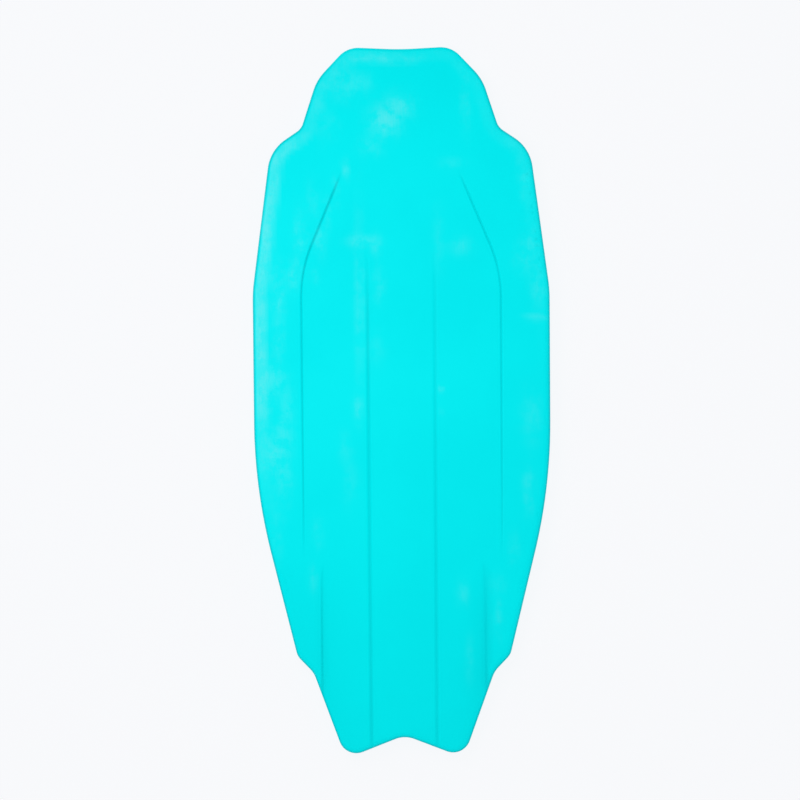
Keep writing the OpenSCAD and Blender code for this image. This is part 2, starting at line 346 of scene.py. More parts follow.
def tidy(piece):
    """Joins vertices that coincide and turns every face outwards."""
    work = bmesh.new()
    work.from_mesh(piece.data)
    bmesh.ops.remove_doubles(work, verts=work.verts, dist=MERGE * MM)
    bmesh.ops.recalc_face_normals(work, faces=work.faces)
    work.to_mesh(piece.data)
    work.free()
    piece.data.update()
    return piece


# Edges that turn by more than this many degrees stay sharp; the deck's shallow bevel needs fewer
SHARP_ANGLE = 40
DECK_SHARP_ANGLE = 20


def sharpen(piece, angle):
    """Marks edges that turn by more than the angle as sharp, so that flats stay flat."""
    work = bmesh.new()
    work.from_mesh(piece.data)
    for edge in work.edges:
        if len(edge.link_faces) == 2 and edge.calc_face_angle() > math.radians(angle):
            edge.smooth = False
    work.to_mesh(piece.data)
    work.free()
    return piece


def apply_modifier(piece, modifier):
    bpy.context.view_layer.objects.active = piece
    with bpy.context.temp_override(object=piece, active_object=piece):
        bpy.ops.object.modifier_apply(modifier=modifier.name)


def inside(points, ring):
    """Which points lie inside a closed ring."""
    x, y = points[:, 0], points[:, 1]
    odd = np.zeros(len(points), bool)
    for (ax, ay), (bx, by) in zip(ring, np.roll(ring, -1, axis=0)):
        if ay == by:
            continue
        crosses = (ay > y) != (by > y)
        odd ^= crosses & (x < ax + (y - ay) * (bx - ax) / (by - ay))
    return odd


def nearest(points, others, batch=2000):
    """Distance from each point to the nearest of the others, seen in plan."""
    found = np.empty(len(points))
    for start in range(0, len(points), batch):
        part = points[start:start + batch]
        away = np.hypot(part[:, None, 0] - others[None, :, 0], part[:, None, 1] - others[None, :, 1])
        found[start:start + batch] = away.min(axis=1)
    return found


def band_faces(upper, lower, count):
    """Faces between two closed rings, given the first vertex of each and how many each has."""
    return [
        (upper + i, upper + (i + 1) % count, lower + (i + 1) % count, lower + i)
        for i in range(count)
    ]


def loop_edges(first, count):
    return [(first + i, first + (i + 1) % count) for i in range(count)]


def filled(rings, extra):
    """Triangles that fill the first ring, leaving out the other rings, through the extra points."""
    points = np.concatenate(rings + [extra])
    edges, first = [], 0
    for ring in rings:
        edges += loop_edges(first, len(ring))
        first += len(ring)
    made = delaunay_2d_cdt([Vector(p) for p in points], edges, [], 0, 1e-5)
    flat = np.array([tuple(v) for v in made[0]])
    faces = [tuple(f) for f in made[2]]
    middles = np.array([flat[list(f)].mean(axis=0) for f in faces])
    keep = inside(middles, rings[0])
    for hole in rings[1:]:
        keep &= ~inside(middles, hole)
    return flat, [f for f, kept in zip(faces, keep) if kept]


def grid(x_values, y_values):
    return np.array([(x, y) for x in x_values for y in y_values], float)


# ---- The slick ----

def edge_radii():
    """How far the slick's rounded edge drops, at every point of the outline."""
    return edge_drop * (face_z(outline[:, 1]) / board_t) ** edge_power


def rolled_edge(angle, thinner=0.0):
    """A ring on the slick's rounded edge, at an angle from 0 on the face to 90 degrees on the side."""
    drop = edge_radii() - thinner
    plan = inset(edge_in - (edge_in - thinner) * math.sin(angle))
    plain = face_z(plan[:, 1]) - thinner - drop * (1 - math.cos(angle))
    sunk = relief(plan[:, 0], plan[:, 1]) * math.cos(angle) ** 2
    return np.column_stack([plan, plain - sunk])


def lip_z():
    """Height of the slick's lower edge on the side of the board."""
    return face_z(outline[:, 1]) - edge_radii() - lip


# Rows of extra points: how far each row lies to the side of a channel's line, or of a scoop's wall
INNER_ROWS = (-6.5, -5.0, -3.8, -2.8, -1.9, -1.0, 0, 1.0, 1.9, 2.8, 3.8, 5.0, 6.5)
OUTER_ROWS = (-5.0, -3.8, -2.9, -2.2, -1.5, -0.75, 0, 0.75, 1.5, 2.2, 2.9, 3.8, 5.0)
SCOOP_ROWS = (
    -58, -52, -46, -40, -35, -30, -26, -22, -18, -15, -12, -9.5, -7, -5, -3.5, -2.2, -1.4, -0.9, -0.4,
    0.1, 0.6, 1.1, 1.8, 3.2,
)
ROW_STEP = 4.0          # between the points of a row
PLAIN_STEP = 8.0        # between the points of the plain face
PLAIN_CLEAR = 5.0       # from the plain face's points to the rows
EDGE_CLEAR = 1.8        # from any point to the rounded edge
EDGE_STEP = 9           # degrees between the rings of the rounded edge
SHELL_CLEAR = 0.2       # how much thinner than the CAD slick the shell is


def feature_points():
    """Extra points across the channels and scoops on the right-hand side."""
    sets = []
    for t in INNER_ROWS:
        y = np.arange(nose_y - (inner_start - 2), tail_y, -ROW_STEP)
        sets.append(np.column_stack([inner_x(nose_y - y) + t, y]))
    ahead = np.gradient(OUTER, axis=0)
    ahead /= np.linalg.norm(ahead, axis=1)[:, None]
    across = np.column_stack([-ahead[:, 1], ahead[:, 0]])
    for t in OUTER_ROWS:
        sets.append(OUTER + across * t)
    s = np.arange(scoop_tip_s - 2 * ROW_STEP, board_l, ROW_STEP)
    wall = scoop_wall(s)
    for t in SCOOP_ROWS:
        sets.append(np.column_stack([wall + t, nose_y - s]))
    return np.concatenate(sets)


def plain_points(features):
    """A coarse grid over the rest of the face, clear of the extra points."""
    x = np.arange(PLAIN_STEP / 2, board_high[0], PLAIN_STEP)
    points = grid(x, np.arange(tail_y, nose_y, PLAIN_STEP))
    return points[nearest(points, features) > PLAIN_CLEAR]


def make_slick():
    """The slick: a thin shell with channels and scoops in its face and a rounded edge."""
    features = feature_points()
    half = np.concatenate([features, plain_points(features)])
    top_ring = rolled_edge(0.0)
    spread = np.concatenate([half, half * (-1, 1)])
    spread = spread[inside(spread, top_ring[:, :2])]
    spread = spread[nearest(spread, top_ring[:, :2]) > EDGE_CLEAR]
    flat, faces = filled([top_ring[:, :2]], spread)
    vertices = [np.column_stack([flat, face_z(flat[:, 1]) - relief(flat[:, 0], flat[:, 1])])]
    angles = range(EDGE_STEP, 91, EDGE_STEP)
    rings = [top_ring] + [rolled_edge(math.radians(angle)) for angle in angles]
    for reach_in, above in ((0.0, 0.4), (0.15, 0.1), (0.45, 0.0)):
        rings.append(np.column_stack([inset(reach_in), lip_z() + above]))
    first = len(flat)
    for number, ring in enumerate(rings):
        vertices.append(ring)
        if number:
            faces += band_faces(first + (number - 1) * POINTS, first + number * POINTS, POINTS)
    piece = tidy(mesh_object("slick_skin", np.concatenate(vertices), faces))
    shell = piece.modifiers.new("shell", "SOLIDIFY")
    shell.thickness = (slick_t - SHELL_CLEAR) * MM
    shell.offset = -1
    apply_modifier(piece, shell)
    return piece


# ---- The foam strips round the edge ----

def span(side, low_y, high_y):
    """Points of the outline on one side, between two y values."""
    half = range(0, HALF_COUNT + 1) if side == RIGHT else [-i % POINTS for i in range(HALF_COUNT + 1)]
    return [i for i in half if low_y <= outline[i, 1] <= high_y]


def end_span(is_nose, edge_y):
    """Points of the outline round one end, from the left-hand side to the right-hand side."""
    if is_nose:
        half = [i for i in range(HALF_COUNT + 1) if outline[i, 1] >= edge_y]
        return [-i % POINTS for i in reversed(half)] + half[1:]
    half = [i for i in range(HALF_COUNT + 1) if outline[i, 1] <= edge_y]
    return half + [-i % POINTS for i in reversed(half[:-1])]


def swept(name, places, section):
    """A closed strip whose cross-section is a loop of (inset, height) arrays over the outline."""
    rows = [np.column_stack([inset(d), np.broadcast_to(z, POINTS)])[places] for d, z in section]
    count, across = len(places), len(section)
    vertices = np.concatenate(rows)
    faces = []
    for k in range(across):
        here, there = k * count, (k + 1) % across * count
        faces += [(here + i, here + i + 1, there + i + 1, there + i) for i in range(count - 1)]
    faces.append(tuple(k * count for k in range(across)))
    faces.append(tuple(k * count + count - 1 for k in reversed(range(across))))
    piece = mesh_object(name, vertices, faces)
    work = bmesh.new()
    work.from_mesh(piece.data)
    caps = [f for f in work.faces if len(f.verts) > 4]
    bmesh.ops.triangulate(work, faces=caps, ngon_method="EAR_CLIP")
    bmesh.ops.recalc_face_normals(work, faces=work.faces)
    work.to_mesh(piece.data)
    work.free()
    return sharpen(piece, SHARP_ANGLE)


def rail_section():
    """Loop round a rail strip: under the slick's edge, down the side, and back up inside."""
    under = slick_t + seam_gap
    top = []
    for degrees in (40, 55, 70, 85):
        ring = rolled_edge(math.radians(degrees), under)
        d = edge_in - (edge_in - under) * math.sin(math.radians(degrees))
        top.append((d, ring[:, 2]))
    low = lip_z()
    height = low - chine_h
    side = [
        (under, low - seam_gap),
        (0.9, low - seam_gap),
        (0.35, low - seam_gap - 0.06 * height - 0.15),
        (0.1, low - seam_gap - 0.2 * height),
        (0.0, chine_h + 0.5 * height),
        (0.1, chine_h + 0.18 * height),
        (0.4, chine_h + seam_gap / 2 + 0.35),
        (0.9, chine_h + seam_gap / 2),
    ]
    inner = [(strip_t, chine_h + seam_gap / 2), (strip_t, top[0][1] - 0.1)]
    return top + side + inner


def chine_section():
    """Loop round a chine strip: down the bevel, across the deck face, and back up inside."""
    high = chine_h - seam_gap / 2
    bulge = 0.5
    bevel = [
        (0.9, high),
        (0.35, high - 0.3),
        (0.2, high - 1.0),
    ]
    for t in (0.15, 0.35, 0.6, 0.8, 0.9):
        out = bulge * math.sin(math.pi * t)
        bevel.append((chine_lean * t - out * 0.7, chine_h * (1 - t) - out * 0.7))
    bevel += [
        (chine_lean * 0.97, chine_h * 0.045),
        (chine_lean * 1.04, chine_h * 0.013),
        (chine_lean * 1.12, 0.0),
    ]
    foot = chine_lean + strip_t - seam_gap
    inner = [(foot - 0.5, 0.0), (foot, 0.3), (strip_t, high)]
    return bevel + inner


def make_strips():
    """Every rail and chine strip, as (piece, CAD node) pairs."""
    places = {
        "strip_left": span(LEFT, tail_strip_y, nose_strip_y),
        "strip_right": span(RIGHT, tail_strip_y, nose_strip_y),
        "nose": end_span(True, nose_strip_y),
        "tail": end_span(False, tail_strip_y),
    }
    rail, chine = rail_section(), chine_section()
    return [
        (swept("rail_left", places["strip_left"], rail), "rail_strip_left"),
        (swept("rail_right", places["strip_right"], rail), "rail_strip_right"),
        (swept("rail_nose", places["nose"], rail), "nose_strip"),
        (swept("rail_tail", places["tail"], rail), "tail_strip"),
        (swept("chine_left", places["strip_left"], chine), "chine_strip_left"),
        (swept("chine_right", places["strip_right"], chine), "chine_strip_right"),
        (swept("chine_nose", places["nose"], chine), "nose_chine_strip"),
        (swept("chine_tail", places["tail"], chine), "tail_chine_strip"),
    ]


# ---- The deck skin and the leash cup ----

ROUND_COUNT = 96            # points round the cup and its hole
cup_flange_t = 1.5
cup_body_r = 15.9
cup_bore_r = 13.0
cup_screw_r = 2.6
cup_floor_t = 3.0
hole_clear = 0.3            # between the cup and the deck skin
hole_step_z = cup_flange_t + 0.1
deck_grid = 14.0            # between the extra points of the deck's flat faces


def circle(radius, z):
    """A ring of points about the cup's axis."""
    angles = np.arange(ROUND_COUNT) * 2 * math.pi / ROUND_COUNT
    return np.column_stack([
        radius * np.cos(angles),
        cup_centre_y + radius * np.sin(angles),
        np.full(ROUND_COUNT, float(z)),
    ])


def make_deck():
    """The deck skin: a flat foam sheet with a bevelled edge and a stepped hole for the leash cup."""
    foot = chine_lean + strip_t + seam_gap
    slope = chine_lean / chine_h
    outer = [
        np.column_stack([inset(foot + 0.6), np.zeros(POINTS)]),
        np.column_stack([inset(foot), np.full(POINTS, 0.35)]),
        np.column_stack([inset(foot - slope * deck_t), np.full(POINTS, deck_t)]),
    ]
    hole = [
        circle(cup_flange_r + 0.9, 0.0),
        circle(cup_flange_r + 0.4, 0.4),
        circle(cup_flange_r + hole_clear, hole_step_z),
        circle(cup_body_r + hole_clear, hole_step_z),
        circle(cup_body_r + hole_clear, deck_t),
    ]
    x = np.arange(board_low[0], board_high[0], deck_grid)
    middle = grid(x, np.arange(tail_y, nose_y, deck_grid))
    vertices, faces, first = [], [], 0
    for rings, z in (([outer[0], hole[0]], 0.0), ([outer[-1], hole[-1]], deck_t)):
        rims = np.concatenate(rings)[:, :2]
        clear = middle[nearest(middle, rims) > deck_grid / 2]
        flat, made = filled([ring[:, :2] for ring in rings], clear)
        vertices.append(np.column_stack([flat, np.full(len(flat), z)]))
        faces += [tuple(first + i for i in f) for f in made]
        first += len(flat)
    for rings in (outer, hole):
        for number, ring in enumerate(rings):
            vertices.append(ring)
            if number:
                faces += band_faces(first - len(ring), first, len(ring))
            first += len(ring)
    piece = tidy(mesh_object("deck_foam_skin", np.concatenate(vertices), faces))
    return sharpen(piece, DECK_SHARP_ANGLE)


def lathed(name, profile):
    """A closed turned piece about the cup's axis, from a loop of (radius, height)."""
    vertices = np.concatenate([circle(r, z) for r, z in profile])
    faces = []
    for k in range(len(profile)):
        here, there = k * ROUND_COUNT, (k + 1) % len(profile) * ROUND_COUNT
        faces += band_faces(here, there, ROUND_COUNT)
    return sharpen(tidy(mesh_object(name, vertices, faces)), SHARP_ANGLE)


def make_cup():
    """The leash cup: flange, body, screw hole, floor and hollow, with rounded lips."""
    depth = cup_high[2]
    floor = depth - cup_floor_t
    flange, body, bore, screw = cup_flange_r, cup_body_r, cup_bore_r, cup_screw_r
    return lathed("leash_cup_body", [
        (flange - 0.6, 0.15), (flange - 0.15, 0.35), (flange, 0.75), (flange, cup_flange_t),
        (body, cup_flange_t), (body, depth - 0.5), (body - 0.5, depth),
        (screw, depth), (screw, floor),
        (bore - 0.8, floor), (bore - 0.2, floor - 0.6), (bore, floor - 1.4),
        (bore, 1.6), (bore + 0.3, 0.7), (bore + 1.0, 0.2), (bore + 1.8, 0.1),
    ])


# ---- Materials ----

class Nodes:
    """A short way to build a node material whose patterns sit in the object's own space."""

    def __init__(self, name):
        self.material = bpy.data.materials.new(name)
        self.material.use_nodes = True
        self.tree = self.material.node_tree
        self.shader = self.tree.nodes["Principled BSDF"]
        self.place = self.tree.nodes.new("ShaderNodeTexCoord").outputs["Object"]

    def link(self, source, target):
        self.tree.links.new(source, target)

    def fixed(self, **values):
        """Sets the shader's own sockets, whose names are written with underscores."""
        for key, value in values.items():
            self.shader.inputs[key.replace("_", " ")].default_value = value

    def stretched(self, scale):
        """The object's space with its own scale along each axis."""
        node = self.tree.nodes.new("ShaderNodeMapping")
        node.inputs["Scale"].default_value = scale
        self.link(self.place, node.inputs["Vector"])
        return node.outputs["Vector"]

    def noise(self, scale, detail, rough, where=None):
        node = self.tree.nodes.new("ShaderNodeTexNoise")
        node.inputs["Scale"].default_value = scale
        node.inputs["Detail"].default_value = detail
        node.inputs["Roughness"].default_value = rough
        self.link(where or self.place, node.inputs["Vector"])
        return node.outputs["Fac"]

    def cells(self, scale, where=None):
        node = self.tree.nodes.new("ShaderNodeTexVoronoi")
        node.inputs["Scale"].default_value = scale
        self.link(where or self.place, node.inputs["Vector"])
        return node.outputs["Distance"]

    def attribute(self, name):
        node = self.tree.nodes.new("ShaderNodeAttribute")
        node.attribute_name = name
        return node.outputs["Fac"]

    def spread(self, value, low, high, to_low=0.0, to_high=1.0):
        """Maps low..high to to_low..to_high, with soft ends."""
        node = self.tree.nodes.new("ShaderNodeMapRange")
        node.interpolation_type = "SMOOTHSTEP"
        node.inputs["From Min"].default_value = low
        node.inputs["From Max"].default_value = high
        node.inputs["To Min"].default_value = to_low
        node.inputs["To Max"].default_value = to_high
        self.link(value, node.inputs["Value"])
        return node.outputs["Result"]

    def math(self, operation, a, b):
        node = self.tree.nodes.new("ShaderNodeMath")
        node.operation = operation
        for socket, value in zip(node.inputs, (a, b)):
            if isinstance(value, (int, float)):
                socket.default_value = value
            else:
                self.link(value, socket)
        return node.outputs["Value"]

    def mix(self, amount, a, b):
        node = self.tree.nodes.new("ShaderNodeMix")
        node.data_type = "RGBA"
        for socket, value in ((node.inputs[0], amount), (node.inputs[6], a), (node.inputs[7], b)):
            if isinstance(value, (int, float, tuple)):
                socket.default_value = value
            else:
                self.link(value, socket)
        return node.outputs[2]

    def bump(self, height, strength, distance, before=None):
        node = self.tree.nodes.new("ShaderNodeBump")
        node.inputs["Strength"].default_value = strength
        node.inputs["Distance"].default_value = distance
        self.link(height, node.inputs["Height"])
        if before:
            self.link(before, node.inputs["Normal"])
        return node.outputs["Normal"]

    def done(self, colour, rough, normal):
        self.link(colour, self.shader.inputs["Base Color"])
        self.link(rough, self.shader.inputs["Roughness"])
        self.link(normal, self.shader.inputs["Normal"])
        return self.material


# The slick's colours
CYAN = (0.0, 0.86, 0.89, 1.0)
CYAN_DEEP = (0.0, 0.835, 0.87, 1.0)
# painted shade colour, towards which the grooves, scoops, rim and left of the tail are darkened
SHADED_CYAN = (0.0, 0.60, 0.64, 1.0)
# pale colour for chalky scuffs and painted highlights
SCUFF_AND_HIGHLIGHT_CYAN = (0.115, 0.85, 0.865, 1.0)

# Names of the values stored on the slick's vertices
# chalky scuffs, partly painted highlights
SCUFF_AND_HIGHLIGHT_LAYER = "scuff_and_highlight"
# painted highlight band along the edge
EDGE_HIGHLIGHT_LAYER = "painted_edge_highlight"
# painted shade
PAINTED_SHADE_LAYER = "painted_shade"


def slick_material():
    """Smooth moulded polyethylene: cyan, chalky where it has been handled, with painted highlights, and
    painted shade in its grooves, scoops and along its rim.
    """
    n = Nodes("slick_plastic")
    broad = n.noise(5.0, 4.0, 0.55)
    colour = n.mix(n.spread(broad, 0.35, 0.7), CYAN, CYAN_DEEP)
    # painted shade: darker in the grooves, scoops, along the rim and on the left of the tail
    colour = n.mix(n.attribute(PAINTED_SHADE_LAYER), colour, SHADED_CYAN)
    faintest = 0.15
    blotch = n.spread(n.noise(42.0, 6.0, 0.62), 0.38, 0.62, faintest, 1.0)
    streak = n.spread(n.noise(1.0, 4.0, 0.6, n.stretched((260.0, 50.0, 50.0))), 0.3, 0.7, 0.65, 1.0)
    # chalky scuffs with painted highlights, then the painted highlight band along the edge
    scuff_and_highlight = n.math("MULTIPLY", n.attribute(SCUFF_AND_HIGHLIGHT_LAYER), n.math("MULTIPLY", blotch, streak))
    even = n.math("MULTIPLY", n.spread(blotch, faintest, 1.0, 0.45, 0.72), streak)
    scuff_and_highlight = n.math("ADD", scuff_and_highlight, n.math("MULTIPLY", n.attribute(EDGE_HIGHLIGHT_LAYER), even))
    scratch = n.spread(n.noise(1.0, 2.0, 0.5, n.stretched((1100.0, 26.0, 26.0))), 0.74, 0.82)
    marks = n.math("MULTIPLY", scratch, n.math("MULTIPLY", blotch, 0.06))
    colour = n.mix(n.math("ADD", scuff_and_highlight, marks), colour, SCUFF_AND_HIGHLIGHT_CYAN)
    rough = n.math("ADD", n.spread(broad, 0.3, 0.7, 0.40, 0.50), n.math("MULTIPLY", scuff_and_highlight, 0.2))
    normal = n.bump(n.noise(140.0, 3.0, 0.55), 0.05, 0.0006)
    normal = n.bump(n.noise(16.0, 3.0, 0.5), 0.05, 0.002, normal)
    n.fixed(Specular_IOR_Level=0.02)
    return n.done(colour, rough, normal)


def foam_material(name, light, dark, cell, depth, rough):
    """Closed-cell foam with a fine pebbled skin: cell is how fine, depth how strong the pebbles are."""
    n = Nodes(name)
    broad = n.noise(9.0, 4.0, 0.6)
    fine = n.cells(cell)
    shade = n.math("MULTIPLY", n.spread(fine, 0.0, 0.55), 0.35)
    colour = n.mix(n.math("ADD", shade, n.spread(broad, 0.3, 0.75, 0.0, 0.6)), light, dark)
    roughness = n.spread(n.noise(60.0, 3.0, 0.5), 0.3, 0.7, rough - 0.07, rough + 0.07)
    normal = n.bump(fine, depth, 0.0007)
    normal = n.bump(n.noise(45.0, 3.0, 0.5), 0.08, 0.001, normal)
    n.fixed(Specular_IOR_Level=0.2)
    return n.done(colour, roughness, normal)


def nylon_material():
    """Moulded black nylon with a fine spark-eroded grain."""
    n = Nodes("cup_nylon")
    broad = n.noise(40.0, 3.0, 0.5)
    colour = n.mix(n.spread(broad, 0.3, 0.7), (0.012, 0.012, 0.013, 1), (0.022, 0.022, 0.024, 1))
    roughness = n.spread(n.noise(120.0, 2.0, 0.5), 0.3, 0.7, 0.36, 0.50)
    return n.done(colour, roughness, n.bump(n.noise(1800.0, 2.0, 0.5), 0.15, 0.0001))


def steel_material():
    """Brushed stainless steel."""
    n = Nodes("stainless_steel")
    lines = n.noise(1.0, 3.0, 0.6, n.stretched((60.0, 2600.0, 2600.0)))
    colour = n.mix(n.spread(lines, 0.3, 0.7), (0.62, 0.63, 0.65, 1), (0.48, 0.49, 0.51, 1))
    roughness = n.spread(lines, 0.3, 0.7, 0.24, 0.38)
    n.fixed(Metallic=1.0)
    return n.done(colour, roughness, n.bump(lines, 0.12, 0.0001))


def fibre_material():
    """Pultruded fibre tube: lengthwise strands under a satin resin."""
    n = Nodes("stringer_composite")
    strands = n.noise(1.0, 4.0, 0.6, n.stretched((1500.0, 30.0, 1500.0)))
    colour = n.mix(n.spread(strands, 0.3, 0.7), (0.014, 0.014, 0.016, 1), (0.05, 0.05, 0.055, 1))
    roughness = n.spread(strands, 0.3, 0.7, 0.28, 0.45)
    return n.done(colour, roughness, n.bump(strands, 0.15, 0.0001))


def mesh_material():
    """Woven plastic mesh: crossing strands as a fine raised check."""
    n = Nodes("mesh_plastic")
    along = n.cells(1.0, n.stretched((260.0, 0.0, 0.0)))
    across = n.cells(1.0, n.stretched((0.0, 260.0, 0.0)))
    weave = n.math("MINIMUM", along, across)
    colour = n.mix(n.spread(weave, 0.1, 0.4), (0.10, 0.105, 0.11, 1), (0.03, 0.032, 0.035, 1))
    roughness = n.spread(weave, 0.0, 0.5, 0.45, 0.65)
    return n.done(colour, roughness, n.bump(weave, 0.3, 0.0004))


# Foams: slot, lighter and darker colour, how fine and how strong the pebbles are, roughness
FOAMS = [
    ("rail_foam", (0.0, 0.80, 0.83, 1), (0.0, 0.72, 0.76, 1), 520.0, 0.12, 0.5),
    ("deck_foam", (0.0, 0.66, 0.70, 1), (0.0, 0.54, 0.59, 1), 330.0, 0.6, 0.7),
    ("core_foam", (0.86, 0.86, 0.83, 1), (0.76, 0.76, 0.73, 1), 240.0, 0.5, 0.75),
    ("backing_foam", (0.62, 0.82, 0.83, 1), (0.54, 0.75, 0.77, 1), 700.0, 0.2, 0.7),
    ("plug_foam", (0.78, 0.78, 0.75, 1), (0.68, 0.68, 0.65, 1), 500.0, 0.3, 0.75),
]
MATERIALS = {foam[0]: foam_material(*foam) for foam in FOAMS}
MATERIALS |= {
    "slick_plastic": slick_material(),
    "mesh_plastic": mesh_material(),
    "stringer_composite": fibre_material(),
    "cup_nylon": nylon_material(),
    "stainless_steel": steel_material(),
}


def finish_piece(piece, slot):
    piece.data.materials.clear()
    piece.data.materials.append(MATERIALS[slot])


# ---- Painted shade, painted highlights and chalky scuffs on the slick ----

# Chalky scuff patches, partly painted highlights: x, distance from the nose, reach across, reach along,
# strength
SCUFF_AND_HIGHLIGHT_PATCHES = [
    # Nose
    (-55.0, 21.0, 42.0, 6.0, 0.3),
    (-2.0, 20.0, 28.0, 7.0, 0.4),
    (-95.0, 64.0, 26.0, 24.0, 0.25),
    (-62.0, 60.0, 14.0, 12.0, 0.2),
    (-26.0, 128.0, 22.0, 22.0, 0.75),
    (2.0, 100.0, 20.0, 18.0, 0.5),
    (-50.0, 172.0, 18.0, 14.0, 0.25),
    (-138.0, 104.0, 9.0, 44.0, 0.15),
    (-118.0, 136.0, 12.0, 20.0, 0.12),
    (114.0, 96.0, 7.0, 40.0, 0.2),
    (-94.0, 212.0, 5.0, 14.0, 0.4),
    (90.0, 204.0, 18.0, 10.0, 0.15),
    # Left rail
    (-234.0, 310.0, 12.0, 44.0, 0.3),
    (-218.0, 388.0, 14.0, 18.0, 0.35),
    (-211.0, 436.0, 11.0, 20.0, 0.55),
    (-242.0, 440.0, 8.0, 40.0, 0.3),
    (-245.0, 540.0, 8.0, 50.0, 0.3),
    (-212.0, 500.0, 9.0, 30.0, 0.35),
    (-220.0, 570.0, 18.0, 24.0, 0.45),
    (-236.0, 620.0, 11.0, 30.0, 0.3),
    (-198.0, 618.0, 9.0, 24.0, 0.35),
    (-204.0, 668.0, 12.0, 24.0, 0.4),
    (-220.0, 706.0, 18.0, 34.0, 0.5),
    (-202.0, 752.0, 10.0, 30.0, 0.3),
    (-216.0, 830.0, 9.0, 44.0, 0.15),
    # Beside the left outer channel
    (-174.0, 335.0, 8.0, 36.0, 0.45),
    (-186.0, 396.0, 8.0, 20.0, 0.45),
    (-152.0, 262.0, 9.0, 26.0, 0.15),
    (-111.0, 246.0, 4.0, 24.0, 0.2),
    (-126.0, 286.0, 4.0, 24.0, 0.2),
    (-140.0, 334.0, 9.0, 24.0, 0.35),
    (-148.0, 394.0, 6.0, 10.0, 0.2),
    (-146.0, 838.0, 8.0, 22.0, 0.15),
    (-158.0, 916.0, 4.0, 20.0, 0.25),
    # Beside the left inner channel
    (-68.0, 336.0, 20.0, 9.0, 0.45),
    (-42.0, 344.0, 8.0, 16.0, 0.3),
    (-71.0, 440.0, 7.0, 120.0, 0.32),
    (-38.0, 412.0, 9.0, 28.0, 0.2),
    (-42.0, 520.0, 12.0, 24.0, 0.1),
    (-74.0, 628.0, 7.0, 18.0, 0.5),
    (-98.0, 690.0, 11.0, 20.0, 0.15),
    (-92.0, 752.0, 11.0, 34.0, 0.14),
    # Right half
    (66.0, 330.0, 9.0, 44.0, 0.12),
    (104.0, 346.0, 16.0, 14.0, 0.24),
    (65.5, 592.0, 3.0, 5.0, 0.5),
    (66.0, 630.0, 3.0, 5.0, 0.5),
    (102.0, 944.0, 9.0, 20.0, 0.2),
    (113.0, 1058.0, 7.0, 34.0, 0.12),
    (164.0, 984.0, 6.0, 30.0, 0.18),
    (163.0, 928.0, 12.0, 14.0, 0.1),
    # Right rail
    (196.0, 160.0, 10.0, 14.0, 0.15),
    (212.0, 225.0, 9.0, 40.0, 0.15),
    (226.0, 340.0, 12.0, 30.0, 0.15),
    (214.0, 366.0, 18.0, 24.0, 0.15),
    (236.0, 420.0, 11.0, 26.0, 0.25),
    (232.0, 470.0, 18.0, 4.0, 0.4),
    (224.0, 640.0, 16.0, 40.0, 0.16),
    (217.0, 764.0, 8.0, 34.0, 0.28),
    (192.0, 870.0, 8.0, 24.0, 0.12),
]

# A painted highlight band lies inside the edge, where the rounded edge starts to turn. It is strongest
# along the front of the left rail, and has a share of that strength on the left of the nose and on the
# right
BAND_STRENGTH = 0.92
BAND_NOSE_SHARE = 0.25
BAND_RIGHT_SHARE = 0.1
BAND_REAR_DROP = 0.65       # how much of it goes at the first of its two steps down the left rail

# How dark the painted shade of each feature is, from 0 to 1: on the left, towards the nose on the left,
# and on the right
INNER_LEFT = 0.34
INNER_LEFT_FRONT = 0.46
INNER_RIGHT = 0.24
OUTER_LEFT = 0.62
OUTER_LEFT_FRONT = 0.82
OUTER_RIGHT = 0.42
OUTER_SHADE_W = 0.8         # width of the outer channels' painted shade line, as a share of theirs
OUTER_SHADE_WIDER = 0.35    # added to that share towards the nose
SCOOP_LEFT = 0.4
SCOOP_RIGHT = 0.58
SCOOP_FLOOR = 0.2
SCOOP_LINE_W = 6.0          # half the width of the painted shade line along a scoop's wall
SCOOP_LINE_RUN = 40         # over which it forms behind the scoop's tip
# painted shade along the slick's rim, weaker at the nose
RIM = 0.9
RIM_AT_NOSE = 0.35
LEFT_TAIL_SHADE = 0.1             # painted shade: the left of the tail is a little darker

# Where these change, as (start, run). By the distance from the edge:
BAND_IN = (3, 4)
BAND_OUT = (15, 14)
RIM_OUT = (1.5, 3)
# By the distance from the nose:
BAND_GROWS = (130, 60)
BAND_DROPS = (585, 80)
BAND_ENDS = (650, 200)
BAND_RIGHT_ENDS = (60, 600)
INNER_GROWS = (345, 130)
INNER_WEAKENS = (570, 150)
RIM_GROWS = (12, 50)
TAIL_SHADE_GROWS = (850, 150)
# By the distance to the left of the middle:
TAIL_SHADE_GROWS_LEFT = (60, 80)
# Along an outer channel, from 0 to 1:
OUTER_GROWS = (0, 0.05)
OUTER_NARROWS = (0.18, 0.12)
OUTER_WEAKENS = (0.25, 0.15)
OUTER_ENDS = (0.8, 0.2)


def vertex_places(piece):
    """Where each vertex of a piece is, in millimetres."""
    flat = np.empty(len(piece.data.vertices) * 3)
    piece.data.vertices.foreach_get("co", flat)
    return flat.reshape(-1, 3) / MM


def store(piece, name, values):
    layer = piece.data.attributes.new(name, "FLOAT", "POINT")
    layer.data.foreach_set("value", np.clip(values, 0, 1).astype(np.float32))


def step_up(value, start, run):
    """0 before the start and 1 after the run, with soft ends."""
    return smooth((value - start) / run)


def patchy_scuff_and_highlight(x, s):
    """The chalky scuff patches and painted highlights, as soft ovals that add up."""
    scuff_and_highlight = np.zeros(len(x))
    for at_x, at_s, reach_x, reach_s, strength in SCUFF_AND_HIGHLIGHT_PATCHES:
        scuff_and_highlight += strength * np.exp(-((x - at_x) / reach_x) ** 2 - ((s - at_s) / reach_s) ** 2)
    return scuff_and_highlight


